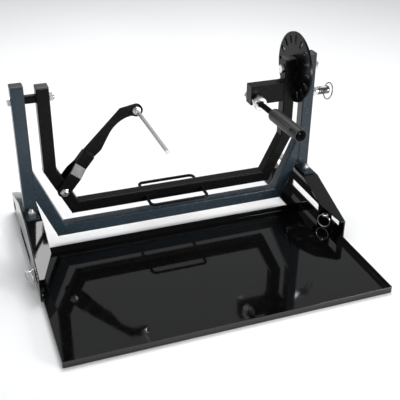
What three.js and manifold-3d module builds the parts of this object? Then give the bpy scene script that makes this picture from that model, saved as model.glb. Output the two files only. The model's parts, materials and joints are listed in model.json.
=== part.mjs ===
// Bench-top engine assembly stand: a square-tube cradle that turns inside a U-shaped frame,
// an index disc with a pull pin, a swinging support arm, an adjustable socket and a drip tray.
// Millimetres, +Z up, +X along the crossbars, -Y towards the tray.
import * as THREE from 'three';
import { mergeVertices } from 'three/addons/utils/BufferGeometryUtils.js';
import Module from 'manifold-3d';

const wasm = await Module();
wasm.setup();

// ---------------------------------------------------------------- driving dimensions
const GAP = 0.3; // left between pieces that touch
const TUBE = 30; // square tube, outside
const WALL = 2;
const HALF_TUBE = TUBE / 2;

const OUTER_HALF = 380; // outer frame, to the uprights' outer faces
const OUTER_TOP = 431;
const OUTER_BAR_BOTTOM = 34;
const OUTER_BAR_HALF = 305; // half length of the crossbar's lower edge
const OUTER_TILT = THREE.MathUtils.degToRad(22.5); // diagonals, from the vertical
const OUTER_BAR_Z = OUTER_BAR_BOTTOM + HALF_TUBE;

const INNER_HALF = 324; // cradle, to the uprights' outer faces
const INNER_TOP = 423.5;
const INNER_BAR_BOTTOM = 93;
const INNER_BAR_HALF = 266;
const INNER_BEND_Z = 217.4; // where the cradle's uprights meet its diagonals
const INNER_BAR_Z = INNER_BAR_BOTTOM + HALF_TUBE;

const PIVOT_Z = 399;
const PIVOT_R = 6;
const PIVOT_CLEAR = 0.2; // radial, between the pivot bolts and what turns on them
const SPACER_R = 10.5;

const SHEET = 3; // folded side brackets
const BRACKET_OUT = 387; // outer face of a bracket's side plate
const BRACKET_MID_Y = -9.5; // brackets reach as far forwards as back from here
const BRACKET_TOP_HALF = 53;
const BRACKET_HALF = 211.5;
const BRACKET_TOP_Z = 115;
const BRACKET_LEG_Z = 60; // height of the plate's front and rear edges
const FLANGE_IN = 345; // inner edge of the top and sloping flanges
const FLOOR_FLANGE_IN = 330;
const STRAP_CUT_Y = 64; // length of the corner cut at a sloping flange's lower end
const STRAP_CUT_X = 29;

const FOOT_T = 5;
const FOOT_FRONT = -55;
const FOOT_REAR = 42;
const FOOT_BOLT_X = 365;
const FOOT_BOLT_Y = { front: -33, rear: 28 };
const FOOT_BOLT_R = 5;

const TRAY_HALF = 383.2;
const TRAY_FRONT = -453;
const TRAY_REAR = -30;
const TRAY_RIM = 16;
const TRAY_T = 1.5;

const LOCK_Y = -146; // pins that hold the tray's ears to the brackets
const LOCK_Z = 38;
const LOCK_R = 4;
const LOCK_HEAD_R = 6;
const LOCK_RING_R = 17;
const RING_WIRE = 1.6;
const EYE_CLEAR = 0.5;
const EAR_WIDTH = 30;
const EAR_TOP = 50;

const DISC_R = 89;
const DISC_T = 6;
const SLOT_COUNT = 16;
const SLOT_IN = 60; // radii of the ends of the index slots
const SLOT_OUT = 84;
const SLOT_HALF = 4.4;
const INDEX_Z = PIVOT_Z - (SLOT_IN + SLOT_OUT) / 2;
const INDEX_R = 4;

const KNOB_R = 10.5;
const KNOB_START = 397.3;
const KNOB_END = 430;
const PULL_RING_X = 416.5;
const PULL_RING_R = 21.5;
const PULL_HOLE = new THREE.Vector3(0.27, 0.3, 0.91).normalize(); // slanting hole in the knob
const PULL_RING_DROOP = new THREE.Vector3(0.837, 0.395, -0.377); // from the hole to the ring

const ARM_PIVOT = new THREE.Vector3(-281.5, 0, 160);
const ARM_TILT = THREE.MathUtils.degToRad(39.7); // support arm, from the vertical
const FORK_HALF = 16;
const FORK_T = 5;
const FORK_STRADDLE = HALF_TUBE + 0.5; // inner face of each leaf beside the tube
const FORK_CLOSED = 4.5; // inner face of each leaf beside the arm
const JOGGLE_START = 47;
const JOGGLE_END = 72;
const FORK_END = 108;
const ARM_HALF_T = 4;
const ARM_PIVOT_R = 6;
const ROD_HOLE = new THREE.Vector2(33, 260); // across and along the arm
const ROD_R = 5;
const ROD_FRONT = -242;
const ROD_REAR = 22;

const BEAM_END = 203; // left end of the socket's support beam
const BEAM_BOTTOM = 317;
const BEAM_TOP = 367;
const STUD = new THREE.Vector3(218, 0, 328);
const STUD_R = 7;
const STUD_FRONT = -128;
const STUD_REAR = 34;
const ADJUSTER_TILT = new THREE.Euler(-0.0208, 0, 0.0172); // slack of the stud in its hole
const SOCKET_REAR = -110;
const SOCKET_FRONT = -251;
const SOCKET_R = 16.3;
const SOCKET_BORE_R = 13;
const SOCKET_BORE = 62;
const SOCKET_CROSS_Y = -225;
const SOCKET_CROSS_R = 4;
const SOCKET_CROSS_TILT = THREE.MathUtils.degToRad(-61.5);

const HANDLE_HALF = 75;
const HANDLE_REACH = 46;
const HANDLE_R = 4;
const HANDLE_BEND = 12;
const HANDLE_Z = 105;

// ---------------------------------------------------------------- materials
const finish = (color, roughness, metalness) =>
  new THREE.MeshStandardMaterial({ color, roughness, metalness });
const slate = finish(0x2f3b46, 0.42, 0.2);
const gloss = finish(0x0b0b0c, 0.2, 0.1);
const satin = finish(0x141415, 0.4, 0.1);
const zinc = finish(0xc9c9c6, 0.3, 0.9);
const socketGrey = finish(0x3a3a3b, 0.5, 0.4);
const plastic = finish(0x101011, 0.5, 0);
const steel = finish(0x8f9091, 0.35, 0.9);

// ---------------------------------------------------------------- solids
function solid(geometry) {
  const bare = geometry.clone();
  bare.deleteAttribute('normal');
  bare.deleteAttribute('uv');
  const merged = mergeVertices(bare, 1e-4);
  return new wasm.Manifold(new wasm.Mesh({
    numProp: 3,
    vertProperties: new Float32Array(merged.attributes.position.array),
    triVerts: new Uint32Array(merged.index.array),
  }));
}

function geometryOf(manifold) {
  const mesh = manifold.getMesh();
  const geometry = new THREE.BufferGeometry();
  geometry.setAttribute('position', new THREE.BufferAttribute(mesh.vertProperties, 3));
  geometry.setIndex(new THREE.BufferAttribute(mesh.triVerts, 1));
  geometry.computeVertexNormals();
  return geometry;
}

const join = (...geometries) =>
  geometryOf(geometries.map(solid).reduce((sum, next) => sum.add(next)));
const cut = (geometry, ...tools) =>
  geometryOf(tools.map(solid).reduce((rest, tool) => rest.subtract(tool), solid(geometry)));
const common = (a, b) => geometryOf(solid(a).intersect(solid(b)));

// A box between two corners, given as ranges along x, y and z.
function block([x0, x1], [y0, y1], [z0, z1]) {
  const geometry = new THREE.BoxGeometry(Math.abs(x1 - x0), Math.abs(y1 - y0), Math.abs(z1 - z0));
  return geometry.translate((x0 + x1) / 2, (y0 + y1) / 2, (z0 + z1) / 2);
}

// Round bars along each axis; the other two coordinates are the centre's.
const SIDES = 24;
const barX = (r, [x0, x1], y, z, sides = SIDES) =>
  new THREE.CylinderGeometry(r, r, Math.abs(x1 - x0), sides)
    .rotateZ(Math.PI / 2).translate((x0 + x1) / 2, y, z);
const barY = (r, [y0, y1], x, z, sides = SIDES) =>
  new THREE.CylinderGeometry(r, r, Math.abs(y1 - y0), sides).translate(x, (y0 + y1) / 2, z);
const barZ = (r, [z0, z1], x, y, sides = SIDES) =>
  new THREE.CylinderGeometry(r, r, Math.abs(z1 - z0), sides)
    .rotateX(Math.PI / 2).translate(x, y, (z0 + z1) / 2);
const hexRadius = (acrossFlats) => acrossFlats / Math.sqrt(3);

const CURVE = { bevelEnabled: false, curveSegments: 10 };

// An outline drawn in x and z, made into a plate between two y values.
function plateXZ(shape, [y0, y1]) {
  const geometry = new THREE.ExtrudeGeometry(shape, { ...CURVE, depth: y1 - y0 });
  return geometry.rotateX(Math.PI / 2).translate(0, y1, 0);
}

// An outline drawn in y and z, made into a plate between two x values.
function plateYZ(shape, [x0, x1]) {
  const geometry = new THREE.ExtrudeGeometry(shape, { ...CURVE, depth: x1 - x0 });
  const turn = new THREE.Matrix4().makeBasis(
    new THREE.Vector3(0, 1, 0), new THREE.Vector3(0, 0, 1), new THREE.Vector3(1, 0, 0));
  return geometry.applyMatrix4(turn).translate(x0, 0, 0);
}

const polygon = (points) => new THREE.Shape(points.map(([a, b]) => new THREE.Vector2(a, b)));

// A rectangular window with round corners.
function roundedWindow([a0, a1], [b0, b1], r) {
  const path = new THREE.Path();
  path.moveTo(a0 + r, b0);
  path.lineTo(a1 - r, b0);
  path.absarc(a1 - r, b0 + r, r, -Math.PI / 2, 0);
  path.lineTo(a1, b1 - r);
  path.absarc(a1 - r, b1 - r, r, 0, Math.PI / 2);
  path.lineTo(a0 + r, b1);
  path.absarc(a0 + r, b1 - r, r, Math.PI / 2, Math.PI);
  path.lineTo(a0, b0 + r);
  path.absarc(a0 + r, b0 + r, r, Math.PI, 1.5 * Math.PI);
  path.closePath();
  return path;
}

// The range from a to b on one side of the middle, lowest first.
const spread = (side, a, b) => (side > 0 ? [a, b] : [-b, -a]);

// ---------------------------------------------------------------- scene graph
const stand = new THREE.Group();
const cradle = new THREE.Group();
const arm = new THREE.Group();
const adjuster = new THREE.Group();
stand.add(cradle);
cradle.add(arm, adjuster);

function put(parent, name, geometry, material) {
  const mesh = new THREE.Mesh(geometry, material);
  mesh.name = name;
  parent.add(mesh);
  return mesh;
}

// ---------------------------------------------------------------- square tube
// A hollow length of tube between two points of its centre line in the plane y = 0. Each end is
// cut along its own direction, so that neighbours meet in a mitre.
function tubeMember(start, end, startCut, endCut) {
  const along = end.clone().sub(start).normalize();
  const across = new THREE.Vector2(-along.y, along.x);
  const section = (half, reach) => {
    const corner = (point, cutLine, side, push) => {
      const slope = cutLine.dot(along) / cutLine.dot(across);
      return point.clone()
        .addScaledVector(across, side * half)
        .addScaledVector(along, side * half * slope + push);
    };
    return new THREE.Shape([
      corner(start, startCut, -1, -reach),
      corner(end, endCut, -1, reach),
      corner(end, endCut, 1, reach),
      corner(start, startCut, 1, -reach),
    ]);
  };
  const inner = HALF_TUBE - WALL;
  return cut(
    plateXZ(section(HALF_TUBE, -GAP / 2), [-HALF_TUBE, HALF_TUBE]),
    plateXZ(section(inner, 1), [-inner, inner]),
  );
}

const bisector = (a, b) => a.clone().normalize().add(b.clone().normalize()).normalize();
const LEVEL = new THREE.Vector2(1, 0);
const UPRIGHT = new THREE.Vector2(0, 1);

// The plug that closes the top of an upright.
function tubeCap(x, top) {
  const inner = HALF_TUBE - WALL - GAP;
  const bottom = top + GAP;
  return join(
    block([x - HALF_TUBE, x + HALF_TUBE], [-HALF_TUBE, HALF_TUBE], [bottom, bottom + 4]),
    block([x - inner, x + inner], [-inner, inner], [bottom - 14, bottom + 1]),
  );
}

// ---------------------------------------------------------------- fasteners along Z
// Each is drawn with its bearing face at z = 0 and is turned into place by its caller.
const hexPrism = (flats, z) => barZ(hexRadius(flats), z, 0, 0, 6);

function lockNut(flats, height, bore) {
  return cut(
    join(hexPrism(flats, [0, height * 0.72]), barZ(flats * 0.43, [0, height], 0, 0, 24)),
    barZ(bore, [-1, height + 1], 0, 0, 24),
  );
}

// The head stands below z = 0 and the shank runs up from it.
function hexBolt(flats, head, shankR, length) {
  return join(hexPrism(flats, [-head, 0]), barZ(shankR, [-head / 2, length], 0, 0, 24));
}

function washer(r, bore, thickness) {
  return cut(barZ(r, [0, thickness], 0, 0), barZ(bore, [-1, thickness + 1], 0, 0, 24));
}

// Turns a fastener's +Z towards +X, -X, +Y or -Y.
const towards = {
  '+X': (geometry) => geometry.rotateY(Math.PI / 2),
  '-X': (geometry) => geometry.rotateY(-Math.PI / 2),
  '+Y': (geometry) => geometry.rotateX(-Math.PI / 2),
  '-Y': (geometry) => geometry.rotateX(Math.PI / 2),
};

// ---------------------------------------------------------------- side brackets
const bracketIn = BRACKET_OUT - SHEET;
const bracketFront = BRACKET_MID_Y - BRACKET_HALF;
const bracketRear = BRACKET_MID_Y + BRACKET_HALF;
const bendFront = BRACKET_MID_Y - BRACKET_TOP_HALF;
const bendRear = BRACKET_MID_Y + BRACKET_TOP_HALF;

function sideBracket(side) {
  const plate = polygon([
    [bracketFront, 0], [bracketRear, 0], [bracketRear, BRACKET_LEG_Z],
    [bendRear, BRACKET_TOP_Z], [bendFront, BRACKET_TOP_Z], [bracketFront, BRACKET_LEG_Z],
  ]);
  const mid = BRACKET_MID_Y;
  plate.holes.push(
    roundedWindow([mid - 78, mid + 78], [14, 36], 6),
    roundedWindow([mid - 187, mid - 144], [30, 56], 5),
    roundedWindow([mid + 144, mid + 187], [30, 56], 5),
  );
  const flangeX = spread(side, FLANGE_IN, BRACKET_OUT - 1);
  const strap = (bend, end) => {
    const folded = plateYZ(polygon([
      [bend, BRACKET_TOP_Z], [end, BRACKET_LEG_Z],
      [end, BRACKET_LEG_Z - SHEET], [bend, BRACKET_TOP_Z - SHEET],
    ]), flangeX);
    const back = Math.sign(bend - end);
    const corner = polygon([
      [side * (FLANGE_IN - 1), end + back * STRAP_CUT_Y],
      [side * FLANGE_IN, end + back * STRAP_CUT_Y],
      [side * (FLANGE_IN + STRAP_CUT_X), end],
      [side * (FLANGE_IN + STRAP_CUT_X), end - back],
      [side * (FLANGE_IN - 1), end - back],
    ]);
    return cut(folded, new THREE.ExtrudeGeometry(corner, { ...CURVE, depth: 200 }));
  };
  const floorFlange = block(
    spread(side, FLOOR_FLANGE_IN, BRACKET_OUT - 1), [TRAY_REAR + 4, bracketRear], [0, SHEET]);
  const topFlange = block(flangeX, [bendFront, bendRear], [BRACKET_TOP_Z - SHEET, BRACKET_TOP_Z]);
  const boltHoles = Object.values(FOOT_BOLT_Y).map((y) =>
    barZ(FOOT_BOLT_R + GAP, [BRACKET_TOP_Z - 10, BRACKET_TOP_Z + 10], side * FOOT_BOLT_X, y));
  return cut(
    join(plateYZ(plate, spread(side, bracketIn, BRACKET_OUT)), topFlange, floorFlange,
      strap(bendFront, bracketFront), strap(bendRear, bracketRear)),
    ...boltHoles,
    barX(LOCK_R + GAP, spread(side, bracketIn - 5, BRACKET_OUT + 5), LOCK_Y, LOCK_Z),
  );
}

// ---------------------------------------------------------------- outer frame
const footZ = BRACKET_TOP_Z + GAP;
const footTop = footZ + FOOT_T;
const outerUprightX = OUTER_HALF - HALF_TUBE;
const outerMitre = TUBE * Math.tan((Math.PI / 2 - OUTER_TILT) / 2);

function outerUpright(side) {
  const x = side * outerUprightX;
  const tube = cut(
    block([x - HALF_TUBE, x + HALF_TUBE], [-HALF_TUBE, HALF_TUBE], [footTop + GAP, OUTER_TOP]),
    block([x - HALF_TUBE + WALL, x + HALF_TUBE - WALL], [-HALF_TUBE + WALL, HALF_TUBE - WALL],
      [footTop, OUTER_TOP + 1]),
    barX(PIVOT_R + PIVOT_CLEAR, [x - TUBE, x + TUBE], 0, PIVOT_Z),
  );
  return side < 0 ? tube : cut(tube, barX(8 + GAP, [x - TUBE, x + TUBE], 0, INDEX_Z));
}

function outerDiagonal(side) {
  const corner = new THREE.Vector2(side * (OUTER_BAR_HALF - outerMitre / 2), OUTER_BAR_Z);
  const rise = new THREE.Vector2(side * Math.sin(OUTER_TILT), Math.cos(OUTER_TILT));
  const reach = (OUTER_HALF - TUBE - Math.abs(corner.x)) / Math.sin(OUTER_TILT);
  const top = corner.clone().addScaledVector(rise, reach);
  const mitre = bisector(rise, new THREE.Vector2(-side, 0));
  return tubeMember(corner, top, mitre, UPRIGHT);
}

function outerCrossbar() {
  const x = OUTER_BAR_HALF - outerMitre / 2;
  const rise = new THREE.Vector2(Math.sin(OUTER_TILT), Math.cos(OUTER_TILT));
  const rightCut = bisector(rise, new THREE.Vector2(-1, 0));
  const leftCut = new THREE.Vector2(-rightCut.x, rightCut.y);
  return tubeMember(new THREE.Vector2(-x, OUTER_BAR_Z), new THREE.Vector2(x, OUTER_BAR_Z),
    leftCut, rightCut);
}

function footPlate(side) {
  const holes = Object.values(FOOT_BOLT_Y).map((y) =>
    barZ(FOOT_BOLT_R + GAP, [footZ - 5, footTop + 5], side * FOOT_BOLT_X, y));
  const x = spread(side, OUTER_HALF - TUBE, OUTER_HALF);
  return cut(block(x, [FOOT_FRONT, FOOT_REAR], [footZ, footTop]), ...holes);
}

// ---------------------------------------------------------------- turning cradle
const innerUprightX = INNER_HALF - HALF_TUBE;
const innerRun = (side) => {
  const bend = new THREE.Vector2(side * innerUprightX, INNER_BEND_Z);
  // The corner's centre line is set back from the outer corner by half the mitre.
  let corner = new THREE.Vector2(side * INNER_BAR_HALF, INNER_BAR_Z);
  let rise = bend.clone().sub(corner).normalize();
  const mitreSetback = (TUBE / 2) * Math.tan((Math.PI / 2 - Math.acos(rise.y)) / 2);
  corner = new THREE.Vector2(side * (INNER_BAR_HALF - mitreSetback), INNER_BAR_Z);
  rise = bend.clone().sub(corner).normalize();
  return { bend, corner, rise };
};

function innerUpright(side) {
  const { bend, rise } = innerRun(side);
  const top = new THREE.Vector2(bend.x, INNER_TOP + GAP / 2);
  const mitre = bisector(new THREE.Vector2(rise.y, -rise.x), LEVEL);
  return cut(
    tubeMember(bend, top, mitre, LEVEL),
    barX(PIVOT_R + PIVOT_CLEAR, [bend.x - TUBE, bend.x + TUBE], 0, PIVOT_Z),
  );
}

function innerDiagonal(side) {
  const { bend, corner, rise } = innerRun(side);
  const lower = bisector(rise, new THREE.Vector2(-side, 0));
  const upper = bisector(new THREE.Vector2(rise.y, -rise.x), LEVEL);
  const tube = tubeMember(corner, bend, lower, upper);
  const pivotHole = barY(ARM_PIVOT_R + GAP, [-TUBE, TUBE], ARM_PIVOT.x, ARM_PIVOT.z);
  return side < 0 ? cut(tube, pivotHole) : tube;
}

function innerCrossbar() {
  const { corner, rise } = innerRun(1);
  const rightCut = bisector(rise, new THREE.Vector2(-1, 0));
  const leftCut = new THREE.Vector2(-rightCut.x, rightCut.y);
  return tubeMember(new THREE.Vector2(-corner.x, INNER_BAR_Z), corner, leftCut, rightCut);
}

// A round bar bent into a wide U, standing out from the crossbar on one side of it.
function liftHandle(front) {
  const near = front * (HALF_TUBE + GAP);
  const far = front * (HALF_TUBE + HANDLE_REACH);
  const point = (x, y) => new THREE.Vector3(x, y, HANDLE_Z);
  const path = new THREE.CurvePath();
  path.add(new THREE.LineCurve3(point(-HANDLE_HALF, near),
    point(-HANDLE_HALF, far - front * HANDLE_BEND)));
  path.add(new THREE.QuadraticBezierCurve3(point(-HANDLE_HALF, far - front * HANDLE_BEND),
    point(-HANDLE_HALF, far), point(-HANDLE_HALF + HANDLE_BEND, far)));
  path.add(new THREE.LineCurve3(point(-HANDLE_HALF + HANDLE_BEND, far),
    point(HANDLE_HALF - HANDLE_BEND, far)));
  path.add(new THREE.QuadraticBezierCurve3(point(HANDLE_HALF - HANDLE_BEND, far),
    point(HANDLE_HALF, far), point(HANDLE_HALF, far - front * HANDLE_BEND)));
  path.add(new THREE.LineCurve3(point(HANDLE_HALF, far - front * HANDLE_BEND),
    point(HANDLE_HALF, near)));
  const section = new THREE.Shape().absarc(0, 0, HANDLE_R, 0, 2 * Math.PI);
  return new THREE.ExtrudeGeometry(section, { steps: 32, curveSegments: 5, extrudePath: path });
}

function indexDisc() {
  const face = new THREE.Shape(new THREE.EllipseCurve(0, 0, DISC_R, DISC_R).getPoints(64).slice(1));
  const straightIn = SLOT_IN + SLOT_HALF;
  const straightOut = SLOT_OUT - SLOT_HALF;
  for (let i = 0; i < SLOT_COUNT; i += 1) {
    const angle = (i * 2 * Math.PI) / SLOT_COUNT;
    const centre = (r) => [r * Math.cos(angle), r * Math.sin(angle)];
    const slot = new THREE.Path();
    slot.absarc(...centre(straightOut), SLOT_HALF, angle - Math.PI / 2, angle + Math.PI / 2);
    slot.absarc(...centre(straightIn), SLOT_HALF, angle + Math.PI / 2, angle + 1.5 * Math.PI);
    slot.closePath();
    face.holes.push(slot);
  }
  const x = INNER_HALF + GAP;
  const geometry = new THREE.ExtrudeGeometry(face, { ...CURVE, curveSegments: 3, depth: DISC_T });
  const turn = new THREE.Matrix4().makeBasis(
    new THREE.Vector3(0, 1, 0), new THREE.Vector3(0, 0, 1), new THREE.Vector3(1, 0, 0));
  const disc = geometry.applyMatrix4(turn).translate(x, 0, PIVOT_Z);
  return cut(disc, barX(PIVOT_R + PIVOT_CLEAR, [x - 1, x + DISC_T + 1], 0, PIVOT_Z));
}

// A length of rectangular tube, closed at its free end, that carries the adjustable socket.
function socketBeam() {
  const wall = 3;
  const end = INNER_HALF - TUBE - GAP;
  return cut(
    block([BEAM_END, end], [-HALF_TUBE, HALF_TUBE], [BEAM_BOTTOM, BEAM_TOP]),
    block([BEAM_END + wall, end + 1], [-HALF_TUBE + wall, HALF_TUBE - wall],
      [BEAM_BOTTOM + wall, BEAM_TOP - wall]),
    barY(STUD_R + 3 * GAP, [-TUBE, TUBE], STUD.x, STUD.z),
  );
}

// ---------------------------------------------------------------- adjustable socket
// Drawn about the stud's own axis, which is the group's y.
adjuster.position.copy(STUD);
adjuster.rotation.copy(ADJUSTER_TILT);

function socket() {
  const shoulder = 9;
  const seat = SOCKET_REAR - STUD_FRONT + 1;
  const profile = [new THREE.Vector2(STUD_R + GAP, 0)];
  for (let i = 0; i <= 4; i += 1) {
    const turn = (i / 4) * (Math.PI / 2);
    profile.push(new THREE.Vector2(
      SOCKET_R - shoulder + shoulder * Math.sin(turn), shoulder * (1 - Math.cos(turn))));
  }
  const length = SOCKET_REAR - SOCKET_FRONT;
  profile.push(new THREE.Vector2(SOCKET_R, length));
  profile.push(new THREE.Vector2(SOCKET_BORE_R, length));
  profile.push(new THREE.Vector2(SOCKET_BORE_R, length - SOCKET_BORE));
  profile.push(new THREE.Vector2(0, length - SOCKET_BORE));
  profile.push(new THREE.Vector2(0, seat));
  profile.push(new THREE.Vector2(STUD_R + GAP, seat));
  profile.push(profile[0].clone());
  const outline = polygon(profile.map(({ x, y }) => [x, y]));
  const turned = new THREE.LatheGeometry(
    THREE.ShapeUtils.isClockWise(outline.getPoints()) ? profile.slice().reverse() : profile, SIDES);
  turned.rotateX(Math.PI).translate(0, SOCKET_REAR, 0);
  const crossHole = barZ(SOCKET_CROSS_R, [-20, 20], 0, 0, 16)
    .rotateY(SOCKET_CROSS_TILT).translate(0, SOCKET_CROSS_Y, 0);
  return cut(turned, crossHole);
}

// ---------------------------------------------------------------- support arm
// Drawn upright in its own frame: x across the arm, z along it from the pivot, y as the stand's.
arm.position.copy(ARM_PIVOT);
arm.rotation.y = ARM_TILT;

// One leaf of the fork; face is -1 for the front leaf and 1 for the rear one.
function forkLeaf(face) {
  const inner = (z, y) => [z, face * y];
  const profile = polygon([
    inner(-FORK_HALF, FORK_STRADDLE), inner(JOGGLE_START, FORK_STRADDLE),
    inner(JOGGLE_END, FORK_CLOSED), inner(FORK_END, FORK_CLOSED),
    inner(FORK_END, FORK_CLOSED + FORK_T), inner(JOGGLE_END + 1, FORK_CLOSED + FORK_T),
    inner(JOGGLE_START + 1, FORK_STRADDLE + FORK_T), inner(-FORK_HALF, FORK_STRADDLE + FORK_T),
  ]);
  const strip = new THREE.ExtrudeGeometry(profile, { ...CURVE, depth: 2 * FORK_HALF });
  const turn = new THREE.Matrix4().makeBasis(
    new THREE.Vector3(0, 0, 1), new THREE.Vector3(0, 1, 0), new THREE.Vector3(-1, 0, 0));
  strip.applyMatrix4(turn).translate(FORK_HALF, 0, 0);
  const outline = new THREE.Shape();
  outline.moveTo(FORK_HALF, FORK_END);
  outline.lineTo(-FORK_HALF, FORK_END);
  outline.lineTo(-FORK_HALF, 0);
  outline.absarc(0, 0, FORK_HALF, Math.PI, 2 * Math.PI);
  outline.closePath();
  outline.holes.push(new THREE.Path().absarc(0, 0, ARM_PIVOT_R + PIVOT_CLEAR, 0, 2 * Math.PI));
  return common(strip, plateXZ(outline, [-TUBE, TUBE]));
}

function armPlate() {
  const nose = 15.5;
  const blade = new THREE.Shape();
  blade.moveTo(-FORK_HALF, JOGGLE_END + 4);
  blade.lineTo(-FORK_HALF, FORK_END + 1);
  blade.lineTo(-3, 241);
  blade.absarc(ROD_HOLE.x, ROD_HOLE.y, nose, 2.466, -1.396, true);
  blade.bezierCurveTo(26, 243, 10, 217, 10.5, 190);
  blade.bezierCurveTo(11, 172, 17.5, 150, 20, 131);
  blade.lineTo(FORK_HALF, FORK_END + 2);
  blade.lineTo(FORK_HALF, JOGGLE_END + 4);
  blade.closePath();
  blade.holes.push(new THREE.Path().absarc(ROD_HOLE.x, ROD_HOLE.y, ROD_R + GAP, 0, 2 * Math.PI));
  return plateXZ(blade, [-ARM_HALF_T, ARM_HALF_T]);
}

// ---------------------------------------------------------------- drip tray
function dripTray() {
  const earX = (side) => spread(side, TRAY_HALF - TRAY_T, TRAY_HALF);
  const pan = cut(
    block([-TRAY_HALF, TRAY_HALF], [TRAY_FRONT, TRAY_REAR], [0, TRAY_RIM]),
    block([-TRAY_HALF + TRAY_T, TRAY_HALF - TRAY_T], [TRAY_FRONT + TRAY_T, TRAY_REAR - TRAY_T],
      [TRAY_T, TRAY_RIM + 1]),
  );
  const ears = [-1, 1].map((side) =>
    block(earX(side), [LOCK_Y - EAR_WIDTH / 2, LOCK_Y + EAR_WIDTH / 2], [TRAY_T / 2, EAR_TOP]));
  // Each ear's notch is open towards the back, so the tray slides forwards off its pins.
  const notches = [-1, 1].flatMap((side) => {
    const x = spread(side, TRAY_HALF - 10, TRAY_HALF + 1);
    const r = LOCK_R + GAP;
    return [barX(r, x, LOCK_Y, LOCK_Z), block(x, [LOCK_Y, LOCK_Y + EAR_WIDTH], [LOCK_Z - r, LOCK_Z + r])];
  });
  return cut(join(pan, ...ears), ...notches);
}

// ---------------------------------------------------------------- pins with rings
const ringGeometry = (r, wire) => new THREE.TorusGeometry(r, wire, 8, 32);

// A ring that hangs in the plane x = 0 from a point on its own wire, swung about Y.
function hangingRing(r, wire, swing) {
  return ringGeometry(r, wire).rotateY(Math.PI / 2).translate(0, 0, -r).rotateY(swing);
}

// Eye clearance is cut all along the ring's swing.
const SWINGS = [-60, -30, 0, 30, 60].map((degrees) => THREE.MathUtils.degToRad(degrees));

// The pin lies along X with the centre of its round head at its own origin. The ring's eye is
// turned about Z by the given angle.
function lockPin(shankLength, eyeTurn) {
  const eyes = SWINGS.map((swing) =>
    hangingRing(LOCK_RING_R, RING_WIRE + EYE_CLEAR, swing).rotateZ(eyeTurn));
  return cut(
    join(new THREE.SphereGeometry(LOCK_HEAD_R, 16, 10), barX(LOCK_R, [0, shankLength], 0, 0, 16)),
    ...eyes,
  );
}

function addLockPin(name, headX, shankLength, eyeTurn) {
  const holder = new THREE.Group();
  holder.position.set(headX, LOCK_Y, LOCK_Z);
  put(holder, `${name}_lock_pin`, lockPin(shankLength, eyeTurn), zinc);
  const ring = put(holder, `${name}_lock_ring`, hangingRing(LOCK_RING_R, RING_WIRE, 0), zinc);
  ring.rotation.z = eyeTurn;
  stand.add(holder);
}

// ---------------------------------------------------------------- index plunger
const HEX_START = OUTER_HALF + GAP;
const HEX_END = HEX_START + 9;
const NECK_END = 397;
const HOUSING_BORE = 6.9;
const COLLAR_X = [360, 363];
const PIN_END = 411;
const PULL_SWINGS = [-30, -15, 0, 15, 30].map((degrees) => THREE.MathUtils.degToRad(degrees));

function plungerHousing() {
  const bore = barX(HOUSING_BORE, [HEX_START - TUBE - 5, HEX_END - 3], 0, 0);
  return cut(
    join(
      barX(hexRadius(22), [HEX_START, HEX_END], 0, 0, 6),
      barX(8, [OUTER_HALF - TUBE, HEX_START + 1], 0, 0),
      barX(9, [HEX_START + 1, NECK_END], 0, 0),
    ),
    bore,
    barX(INDEX_R + GAP, [HEX_START, NECK_END + 1], 0, 0),
  );
}

// Parked: the tip stands just clear of the disc's face.
function indexPin() {
  const tip = INNER_HALF + GAP + DISC_T + 1.2;
  return join(
    barX(INDEX_R, [tip + 1.5, PIN_END], 0, 0),
    new THREE.CylinderGeometry(INDEX_R, INDEX_R - 1.2, 1.5, SIDES)
      .rotateZ(-Math.PI / 2).translate(tip + 0.75, 0, 0),
    barX(HOUSING_BORE - GAP, COLLAR_X, 0, 0),
  );
}

// Axes of the pull ring: x from the knob to the ring's middle, y out of its plane, z the hole.
const pullRingAxes = new THREE.Matrix4().makeBasis(
  PULL_RING_DROOP.clone().addScaledVector(PULL_HOLE, -PULL_RING_DROOP.dot(PULL_HOLE)).normalize(),
  PULL_HOLE.clone().cross(PULL_RING_DROOP).normalize(), PULL_HOLE);
const pullRingGeometry = (wire) =>
  ringGeometry(PULL_RING_R, wire).rotateX(Math.PI / 2).translate(PULL_RING_R, 0, 0);

function pullKnob() {
  const body = barX(KNOB_R, [KNOB_START, KNOB_END], 0, 0, 32);
  const skirt = barX(9 + GAP, [KNOB_START - 1, KNOB_START + 8.5], 0, 0);
  const pinSeat = barX(INDEX_R + GAP, [KNOB_START, PIN_END + GAP], 0, 0);
  const eyes = PULL_SWINGS.map((swing) =>
    pullRingGeometry(RING_WIRE + EYE_CLEAR).rotateZ(swing)
      .applyMatrix4(pullRingAxes).translate(PULL_RING_X, 0, 0));
  return cut(body, skirt, pinSeat, ...eyes);
}

// ---------------------------------------------------------------- assembly
const SIDE_NAMES = [['left', -1], ['right', 1]];

for (const [name, side] of SIDE_NAMES) {
  put(stand, `${name}_side_bracket`, sideBracket(side), gloss);
  put(stand, `${name}_foot_plate`, footPlate(side), slate);
  put(stand, `${name}_outer_upright`, outerUpright(side), slate);
  put(stand, `${name}_outer_diagonal`, outerDiagonal(side), slate);
  put(stand, `${name}_outer_cap`, tubeCap(side * outerUprightX, OUTER_TOP), plastic);
  for (const [end, y] of Object.entries(FOOT_BOLT_Y)) {
    const bolt = put(stand, `${name}_${end}_foot_bolt`, hexBolt(16, 6.4, FOOT_BOLT_R, 24), zinc);
    bolt.position.set(side * FOOT_BOLT_X, y, BRACKET_TOP_Z - SHEET - GAP);
    const nut = put(stand, `${name}_${end}_foot_nut`, lockNut(17, 10, FOOT_BOLT_R + GAP), zinc);
    nut.position.set(side * FOOT_BOLT_X, y, footTop + GAP);
  }

  put(cradle, `${name}_inner_upright`, innerUpright(side), satin);
  put(cradle, `${name}_inner_diagonal`, innerDiagonal(side), satin);
  put(cradle, `${name}_inner_cap`, tubeCap(side * innerUprightX, INNER_TOP), plastic);
}

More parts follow.
